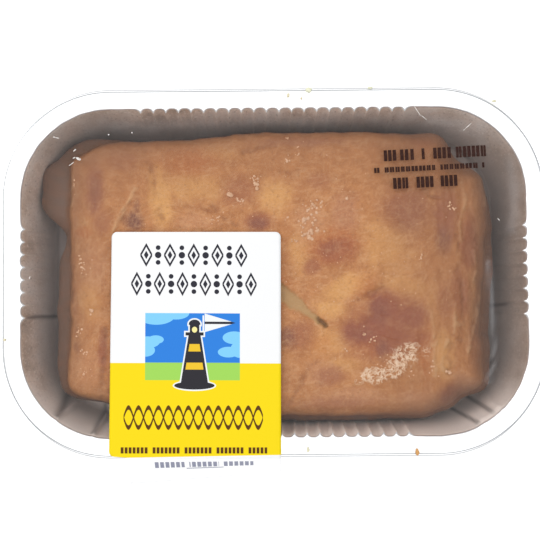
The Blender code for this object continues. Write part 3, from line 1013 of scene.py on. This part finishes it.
# ---------------------------------------------------------------------------------------------
# Lid film: clear lidding film, heat-sealed on the flange and trimmed at its outer edge. It is a
# little hazy with butter, most where it hangs free of the slab.
# ---------------------------------------------------------------------------------------------
FILM_MARGIN = 0.0068
CUT_LINE = 0.00034
FILM_CELLS = (150, 100)
film_level = 0.5 * (film_low.z + film_high.z)
rim = opening_outline(0, 40)
rim_points = rim[:, :2] + rim[:, 2:4] * FILM_MARGIN
rim_points = rim_points[np.argsort(np.arctan2(rim_points[:, 1], rim_points[:, 0]))]
rim_turn = np.arctan2(rim_points[:, 1], rim_points[:, 0])


def film_radius(angle):
    """Distance from the pack's middle to the film's edge, where a straight edge joins rim points."""
    after = np.searchsorted(rim_turn, angle) % len(rim_turn)
    a, b = rim_points[after - 1], rim_points[after]
    cross = a[:, 0] * b[:, 1] - a[:, 1] * b[:, 0]
    return cross / (np.cos(angle) * (b[:, 1] - a[:, 1]) - np.sin(angle) * (b[:, 0] - a[:, 0]))


film_steps = [np.linspace(-1.0, 1.0, cells + 1) for cells in FILM_CELLS]
film_u, film_v = (grid.ravel() for grid in np.meshgrid(*film_steps, indexing="ij"))
film_out = np.maximum(np.abs(film_u), np.abs(film_v))
film_turn = np.arctan2(film_v * film_high.y, film_u * film_high.x)
film_reach = film_out * film_radius(film_turn)
film_x = film_reach * np.cos(film_turn)
film_y = film_reach * np.sin(film_turn)
below_film = []
for x, y in zip(film_x, film_y):
    _, place, away = top_tree.find((x, y, 0.0))
    below_film.append(film_level - slab_points[place][2] + 2.0 * away)
on_flange = soft_step(np.maximum(np.abs(film_x) - OPENING[0], np.abs(film_y) - OPENING[1]), -0.004, 0.0)
haze = soft_step(np.array(below_film), 0.0008, 0.009) * (1.0 - on_flange)
SHEENS = (
    # a path in mm, width in mm, strength
    (((81.1, 2.9), (82.2, -11.6), (82.8, -26.8), (82.3, -36.3), (80.4, -42.0)), 0.8, 0.13),
    (((89.9, 41.7), (91.3, 26.4), (90.4, 15.0)), 1.6, 0.07),
    (((75.2, 60.1), (78.2, 55.1), (79.6, 49.4)), 2.4, 0.05),
    (((60.0, 57.5), (70.0, 56.0), (77.0, 52.5)), 2.4, 0.06),
    (((-60.0, 56.0), (-20.0, 57.5), (20.0, 57.5)), 2.0, 0.03),
)
# From here on the paths are measured from the film's points.
x_mm = film_x / MM
y_mm = film_y / MM
sheen = np.zeros_like(x_mm)
film_wander = cloud(x_mm, y_mm, 7.0, 81.0)
for path, width, strength in SHEENS:
    sheen = np.maximum(sheen, strength * strokes((path,), width, film_wander))
sag = cloud(x_mm, y_mm, 20.0, 71.0, octaves=2)
film_points = np.column_stack((film_x, film_y, film_level + 0.00009 * sag * haze))
film_columns = len(film_steps[1])
film_faces = []
for u in range(len(film_steps[0]) - 1):
    for v in range(film_columns - 1):
        low = u * film_columns + v
        film_faces.append((low, low + film_columns, low + film_columns + 1, low + 1))

clear = Finish("clear_film", Roughness=0.12, IOR=1.45)
smudge = clear.grain(0.010, detail=3.0)
film_place = clear.node("ShaderNodeTexCoord", output="Object")
corner_hub = (OPENING[0] - CORNER, OPENING[1] - CORNER, 1.0)
past_hub = clear.node("ShaderNodeVectorMath", {"operation": "ABSOLUTE"}, Vector=film_place)
past_hub = clear.vector("SUBTRACT", past_hub, corner_hub)
past_hub = clear.vector("MAXIMUM", past_hub, (0.0, 0.0, 0.0))
reach_past = clear.node("ShaderNodeVectorMath", {"operation": "LENGTH"}, output=1, Vector=past_hub)
cut_edge = reach_past.rise(CORNER + FILM_MARGIN - CUT_LINE, CORNER + FILM_MARGIN - 0.5 * CUT_LINE)
clear.feed("Base_Color", clear.mix(cut_edge.rise(0.0, 0.3), (0.80, 0.80, 0.82), (0.22, 0.23, 0.25)))
veil = 0.010 + clear.attribute("haze") * (0.018 + smudge * 0.030) + clear.attribute("sheen")
clear.feed("Alpha", (veil + cut_edge * 0.85).clamped())
clear.bump(clear.grain(0.020, detail=2.0), 0.0002)
film = mesh_piece("lid_film_sheet", film_points, film_faces, clear)
lay_map(film, "haze", haze)
lay_map(film, "sheen", sheen)
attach(film, "root")
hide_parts("lid_film")

# ---------------------------------------------------------------------------------------------
# Label: coated paper, die-cut with round corners, stuck on the film. Its narrower flap is folded
# over the front rim and hangs away from the tray. The print is plain fields and simple shapes.
# ---------------------------------------------------------------------------------------------
PAPER = 0.00012
LABEL_BACK = 0.0152
LABEL_LEFT = -0.0626
LABEL_RIGHT = 0.0020
LEFT_SLANT = 0.0153
RIGHT_SLANT = 0.0075
BACK_TURN = 0.00025
LABEL_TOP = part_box("label")[1].z - 0.00003
LABEL_RIM = 0.0008 - (OPENING[1] + FLANGE + LONG_SIDE_LIP)
LABEL_CORNER = 0.0020
EAR_STEP = 0.0004
FOLD_RADIUS = 0.0014
FLAP_LEFT = -0.0560
FLAP_LENGTH = 0.0158
FLAP_LEAN = (math.radians(46.0), math.radians(28.0))
PRINT_TURN = 0.0087
LABEL_COLUMNS = 60


def flap_place(lean, run):
    """(y, z) of the label's upper side, run metres past the rim, where it hangs at one lean."""
    turned = min(run / FOLD_RADIUS, 0.5 * math.pi - lean)
    straight = run - turned * FOLD_RADIUS
    y = LABEL_RIM - FOLD_RADIUS * math.sin(turned) - straight * math.sin(lean)
    z = LABEL_TOP - FOLD_RADIUS * (1.0 - math.cos(turned)) - straight * math.cos(lean)
    return y, z


def corner_inset(distance):
    """How far a round corner pulls the side in, at a distance from the edge it meets."""
    left_over = LABEL_CORNER - min(max(distance, 0.0), LABEL_CORNER)
    return LABEL_CORNER - math.sqrt(LABEL_CORNER ** 2 - left_over ** 2)


rounding = [LABEL_CORNER * (1.0 - math.cos(0.5 * math.pi * step / 6)) for step in range(7)]
flat_length = LABEL_BACK - LABEL_RIM - EAR_STEP
straight_length = flat_length - 2.0 * LABEL_CORNER
flat_rows = rounding + [LABEL_CORNER + straight_length * step / 40 for step in range(1, 40)]
flat_rows += [flat_length - row for row in reversed(rounding)]
flap_start = LABEL_BACK - LABEL_RIM
flap_rows = [flap_start + FOLD_RADIUS * 1.2 * step / 8 for step in range(9)]
flap_left_over = flap_start + FLAP_LENGTH - flap_rows[-1]
flap_rows += [flap_rows[-1] + flap_left_over * step / 12 for step in range(1, 13)]
label_points = []
prints = []
for row in flat_rows + flap_rows:
    on_flap = row > flat_length + 1e-6
    from_rim = LABEL_BACK - row - LABEL_RIM
    left = FLAP_LEFT
    right = LABEL_RIGHT
    if not on_flap:
        left = LABEL_LEFT + LEFT_SLANT * from_rim + corner_inset(row) + corner_inset(flat_length - row)
        right = LABEL_RIGHT + RIGHT_SLANT * from_rim - corner_inset(row)
    for column in range(LABEL_COLUMNS + 1):
        share = column / LABEL_COLUMNS
        x = left + (right - left) * share
        if on_flap:
            lean = FLAP_LEAN[0] + (FLAP_LEAN[1] - FLAP_LEAN[0]) * share
            y, z = flap_place(lean, row - flap_start)
        else:
            y = LABEL_BACK - row + BACK_TURN * (1.0 - 2.0 * share) * from_rim / flap_start
            z = LABEL_TOP
        label_points.append((x, y, z))
        flat_y = LABEL_BACK - row
        prints.append(((x - PRINT_TURN * flat_y) / MM, (row - PRINT_TURN * x) / MM, 0.0))
label_faces = []
for row in range(len(flat_rows + flap_rows) - 1):
    for column in range(LABEL_COLUMNS):
        low = row * (LABEL_COLUMNS + 1) + column
        label_faces.append((low, low + LABEL_COLUMNS + 1, low + LABEL_COLUMNS + 2, low + 1))

paper = Finish("printed_paper", Roughness=0.5, Specular_IOR_Level=0.12, Emission_Strength=0.11)
across = paper.node("ShaderNodeSeparateXYZ", Vector=paper.attribute("print_place", "Vector"))
down = Wire(paper.tree, across.socket.node.outputs[1])
fibre = paper.grain(0.0006, detail=3.0)
WHITE = (0.92, 0.92, 0.92)
YELLOW = (0.93, 0.70, 0.006)
INK = (0.030, 0.030, 0.042)
BROWN = (0.11, 0.045, 0.008)
BLUE = (0.030, 0.22, 0.72)
SKY = (0.23, 0.62, 0.95)
GREEN = (0.36, 0.68, 0.11)
YELLOW_TOP = 49.8
YELLOW_FOOT = 84.15
YELLOW_SLANT = 0.0186
yellow_field = (down > YELLOW_TOP) * (down + across * YELLOW_SLANT < YELLOW_FOOT)
colour = paper.mix(yellow_field, paper.mix(fibre, (0.91, 0.91, 0.91), WHITE), YELLOW)


def ellipse(centre_x, centre_y, half_x, half_y):
    return ((across - centre_x) / half_x) ** 2.0 + ((down - centre_y) / half_y) ** 2.0 < 1.0


def either(first, second):
    return first.at_least(second)


# Picture: sky with clouds over a green field, and a lighthouse in front.
panel = across.between(-48.6, -12.9) * down.between(31.0, 56.2)
field = panel * (down > 49.6)
clouds = ellipse(-44.5, 32.0, 7.0, 3.4)
for cloud_x, cloud_y, cloud_wide, cloud_tall in (
    (-37.0, 31.0, 5.0, 2.4),
    (-47.8, 42.0, 4.6, 2.2),
    (-44.6, 41.0, 3.0, 1.6),
    (-48.5, 45.0, 3.6, 2.4),
    (-15.0, 40.2, 4.4, 2.4),
    (-17.2, 45.6, 4.0, 2.0),
    (-12.5, 44.6, 4.0, 3.2),
):
    clouds = either(clouds, ellipse(cloud_x, cloud_y, cloud_wide, cloud_tall))
colour = paper.mix(panel, colour, BLUE)
colour = paper.mix(panel * clouds, colour, SKY)
colour = paper.mix(field, colour, GREEN)

TOWER_X = -30.0


def tower(grow):
    """The lighthouse's outline, grown by a margin in millimetres."""
    from_axis = abs(across - TOWER_X)
    shaft = (from_axis < (down - 39.0) * 0.16 + 2.2 + grow) * down.between(39.0 - grow, 57.6 + grow)
    rock = ellipse(TOWER_X, 58.2, 7.6 + grow, 1.5 + grow)
    gallery = (from_axis < 3.4 + grow) * down.between(38.2 - grow, 39.4 + grow)
    lantern = (from_axis < 1.8 + grow) * down.between(35.2 - grow, 39.0)
    dome = ellipse(TOWER_X, 35.2, 2.2 + grow, 1.8 + grow) * (down < 35.4 + grow)
    return either(either(shaft, rock), either(either(gallery, lantern), dome))


pennant = (abs(down - 34.6) < (-14.5 - across) * 0.30) * across.between(-26.2, -14.5)
pole = across.between(-27.0, -26.4) * down.between(31.8, 39.0)
colour = paper.mix(either(tower(0.55), either(pennant, pole)), colour, (0.88, 0.90, 0.90))
colour = paper.mix(pennant * (abs(down - 34.6) < 0.45), colour, INK)
colour = paper.mix(tower(0.0), colour, (0.030, 0.028, 0.035))
bands = tower(-0.9) * either(down.between(42.6, 45.4), down.between(49.6, 52.2))
colour = paper.mix(bands, colour, (0.86, 0.55, 0.030))
colour = paper.mix(ellipse(TOWER_X, 37.2, 1.0, 1.1), colour, (0.95, 0.85, 0.35))


def frieze(left, right, top, bottom, pitch):
    """A row of tall hollow lozenges with stacked dots between them, where a title would stand."""
    tall = 0.5 * (bottom - top)
    middle = 0.5 * (bottom + top)
    cell = (across - left) / pitch
    local = cell.math("FRACT") - 0.5
    odd = (cell * 0.5).math("FRACT") > 0.5
    rise = (down - middle) / tall
    reach = abs(local) / 0.56 + abs(rise)
    lozenge = either(reach.between(0.68, 1.0), reach < 0.36)
    dots = (local * pitch) ** 2.0 + (rise * tall) ** 2.0 < 1.5
    for level in (-0.62, 0.62):
        dots = either(dots, (local * pitch) ** 2.0 + ((rise - level) * tall) ** 2.0 < 0.8)
    shape = odd * dots + (1.0 - odd) * lozenge
    return shape * across.between(left, right) * down.between(top, bottom)


def braid(left, right, top, bottom, pitch, weight):
    """Two crossing waves, a plain printed braid."""
    tall = 0.5 * (bottom - top) - weight
    middle = 0.5 * (bottom + top)
    wave = ((across - left) * (2.0 * math.pi / pitch)).math("SINE") * tall
    one = abs(down - middle - wave) < weight
    two = abs(down - middle + wave) < weight
    return either(one, two) * across.between(left, right)


def dashes(left, right, top, bottom, pitch, word):
    """A line of small blocks in groups, where small print would stand."""
    block = ((across - left) / pitch).math("FRACT") < 0.72
    group = ((across - left) / word).math("FRACT") < 0.86
    return block * group * across.between(left, right) * down.between(top, bottom)


titles = either(frieze(-50.6, -10.2, 4.6, 13.6, 4.49), frieze(-54.0, -6.6, 15.4, 24.6, 4.31))
colour = paper.mix(titles, colour, INK)
scroll = braid(-56.6, -4.2, 65.6, 74.8, 7.5, 0.85)
colour = paper.mix(scroll, colour, BROWN)
colour = paper.mix(dashes(-57.6, -2.6, 81.3, 83.6, 1.5, 12.0), colour, BROWN)
flap_line = dashes(-45.0, -7.2, 87.6, 91.4, 2.0, 13.0)
flap_rule = across.between(-33.2, -19.2) * down.between(91.9, 92.5)
colour = paper.mix(either(flap_line, flap_rule) * 0.88, colour, (0.16, 0.17, 0.26))
paper.feed("Base_Color", colour)
# The flap glows with painted light in its own colour, for the table's light that shines through this one
# thin sheet with nothing behind it.
paper.feed("Emission_Color", paper.mix(down.rise(85.2, 86.0), (0.0, 0.0, 0.0), colour))
paper.bump(fibre, 0.00002)

label = mesh_piece("paper_label", label_points, label_faces, paper)
print_places = label.data.attributes.new("print_place", "FLOAT_VECTOR", "POINT")
print_places.data.foreach_set("vector", np.array(prints, np.float32).ravel())
thick = label.modifiers.new("paper", "SOLIDIFY")
thick.thickness = PAPER
thick.offset = -1.0
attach(label, "root")
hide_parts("label")

# ---------------------------------------------------------------------------------------------
# Batch print: dark ink on the film, three slightly tilted lines of blocks where a date code
# would stand.
# ---------------------------------------------------------------------------------------------
CODE_TILT = math.radians(2.5)
CODE_LINES = (
    # left and baseline, block height, then widths in mm, a negative one for a gap
    ((42.2, 41.5), 4.2, (2.9, 4.1, 3.4, -2.0, 1.1, -2.3, 3.0, 3.2, -1.0, 2.1, 2.9, 2.9, 1.9)),
    ((38.4, 37.0), 2.0, (
        2.0, -1.0, 1.5, 1.6, 1.6, 1.4, 1.6, 2.4, 2.4, 1.5, 1.2,
        -1.0, 0.9, 1.6, 1.4, 1.6, 1.6, 2.4, 1.6, -0.8, 0.8,
    )),
    ((45.6, 30.9), 4.2, (3.0, 2.2, -2.2, 2.9, 3.0, -1.8, 2.8, 3.0)),
)
CODE_GAP = 0.50
CODE_STROKE = 1.30
ink_points = []
ink_faces = []
for (line_x, line_y), tall, widths in CODE_LINES:
    pen = 0.0
    for wide in widths:
        stroke = min(CODE_STROKE, 0.40 * max(wide, 0.0) + 0.10)
        for left in (pen, pen + wide - stroke) if wide > 0.0 else ():
            corners = ((left, 0.0), (left + stroke, 0.0), (left + stroke, tall), (left, tall))
            start = len(ink_points)
            for level in (0.00006, 0.00012):
                for dx, dy in corners:
                    x = line_x + dx * math.cos(CODE_TILT) - dy * math.sin(CODE_TILT)
                    y = line_y + dx * math.sin(CODE_TILT) + dy * math.cos(CODE_TILT)
                    ink_points.append((x * MM, y * MM, film_high.z + level))
            ink_faces.append(tuple(start + step for step in (3, 2, 1, 0)))
            ink_faces.append(tuple(start + step for step in (4, 5, 6, 7)))
            for step in range(4):
                after = (step + 1) % 4
                ink_faces.append((start + step, start + after, start + 4 + after, start + 4 + step))
        pen += abs(wide) + CODE_GAP
ink = Finish("film_ink", Roughness=0.6, Specular_IOR_Level=0.05)
ink_cover = ink.grain(0.0008, detail=3.0).rise(0.3, 0.7)
ink.feed("Base_Color", ink.mix(ink_cover, (0.030, 0.012, 0.010), (0.060, 0.028, 0.022)))
code = mesh_piece("batch_print", ink_points, ink_faces, ink, smooth=False)
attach(code, "root")

# ---------------------------------------------------------------------------------------------
# Butter spots and crumbs that were trapped on the flange when the lid was sealed.
# ---------------------------------------------------------------------------------------------
SPOTS = (
    # x, y, half sizes in mm, how browned
    (6.0, 67.2, 0.6, 0.7, 0.2),
    (13.8, 69.2, 1.1, 1.0, 0.0),
    (37.2, 69.8, 0.9, 0.5, 0.0),
    (84.4, 64.2, 0.9, 0.5, 0.1),
    (12.2, -67.2, 0.5, 1.0, 0.1),
    (-102.0, -25.0, 0.5, 0.5, 0.2),
    (53.2, -68.4, 0.7, 1.2, 1.0),
    (11.0, 66.0, 0.4, 0.4, 0.3),
)
spots = bmesh.new()
browning = []
for place, (x, y, half_x, half_y, brown) in enumerate(SPOTS):
    ball = bmesh.ops.create_icosphere(spots, subdivisions=3, radius=1.0)
    for vert in ball["verts"]:
        bulge = 1.0 + 0.35 * noise.noise(vert.co * 1.7 + Vector((place * 5.0, 0.0, 0.0)))
        vert.co = Vector((
            (x + vert.co.x * half_x * bulge) * MM,
            (y + vert.co.y * half_y * bulge) * MM,
            film_high.z + 0.00002 + vert.co.z * 0.00022,
        ))
        browning.append(brown)
butter = Finish("butter", Roughness=0.25)
pale_butter = butter.mix(butter.grain(0.0006).rise(0.3, 0.7), (0.86, 0.85, 0.62), (0.70, 0.70, 0.52))
butter.feed("Base_Color", butter.mix(butter.attribute("browned"), pale_butter, (0.66, 0.33, 0.10)))
spot_piece = form_piece("butter_spots", spots, butter)
lay_map(spot_piece, "browned", browning)
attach(spot_piece, "root")

# ---------------------------------------------------------------------------------------------
# Creases: where the film was drawn tight over a corner of the slab it has puckered. The short raised
# ridges carry painted highlights: pale, half-clear glints in their colour.
# ---------------------------------------------------------------------------------------------
CREASES = (
    # x, y, half length, half width in mm, lean in degrees
    (-74.0, 43.5, 1.00, 0.50, -25.0),
    (-75.6, 43.9, 0.60, 0.22, 20.0),
    (-76.6, 41.6, 1.30, 0.16, 35.0),
    (-75.4, 46.8, 0.75, 0.24, 40.0),
    (-82.2, 51.6, 0.90, 0.20, -12.0),
    (-83.3, 51.9, 0.35, 0.22, 0.0),
    (-62.5, 52.6, 0.30, 0.25, 0.0),
    (-53.6, 53.3, 0.25, 0.35, 0.0),
    (54.9, 61.0, 2.90, 0.14, -58.0),
    (57.5, 58.2, 1.60, 0.12, -40.0),
    (74.0, 54.4, 2.20, 0.14, 42.0),
    (85.3, 19.0, 0.70, 0.16, -50.0),
    (-92.5, -1.5, 0.60, 0.18, 70.0),
)
creases = bmesh.new()
for x, y, half_long, half_wide, lean in CREASES:
    ball = bmesh.ops.create_icosphere(creases, subdivisions=3, radius=1.0)
    turned = Matrix.Rotation(math.radians(lean), 3, "Z")
    for vert in ball["verts"]:
        uneven = 1.0 + 0.5 * noise.noise(Vector((vert.co.x * 2.3 + x, y, 0.0)))
        out = turned @ Vector((vert.co.x * half_long, vert.co.y * half_wide * uneven, 0.0))
        vert.co = Vector(((x + out.x) * MM, (y + out.y) * MM, film_high.z + 0.00001 + vert.co.z * 0.00010))
# Painted highlight: pale, half-clear colour for the glints.
glint_paint = Finish("painted_glints", Roughness=0.2)
glint = glint_paint.grain(0.0005).rise(0.3, 0.7)
glint_paint.feed("Base_Color", glint_paint.mix(glint, (0.98, 0.97, 0.95), (0.85, 0.80, 0.74)))
glint_paint.feed("Alpha", 0.35 + glint_paint.grain(0.0009).rise(0.35, 0.65) * 0.55)
creases_piece = form_piece("film_glints", creases, glint_paint)
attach(creases_piece, "root")

low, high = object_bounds()
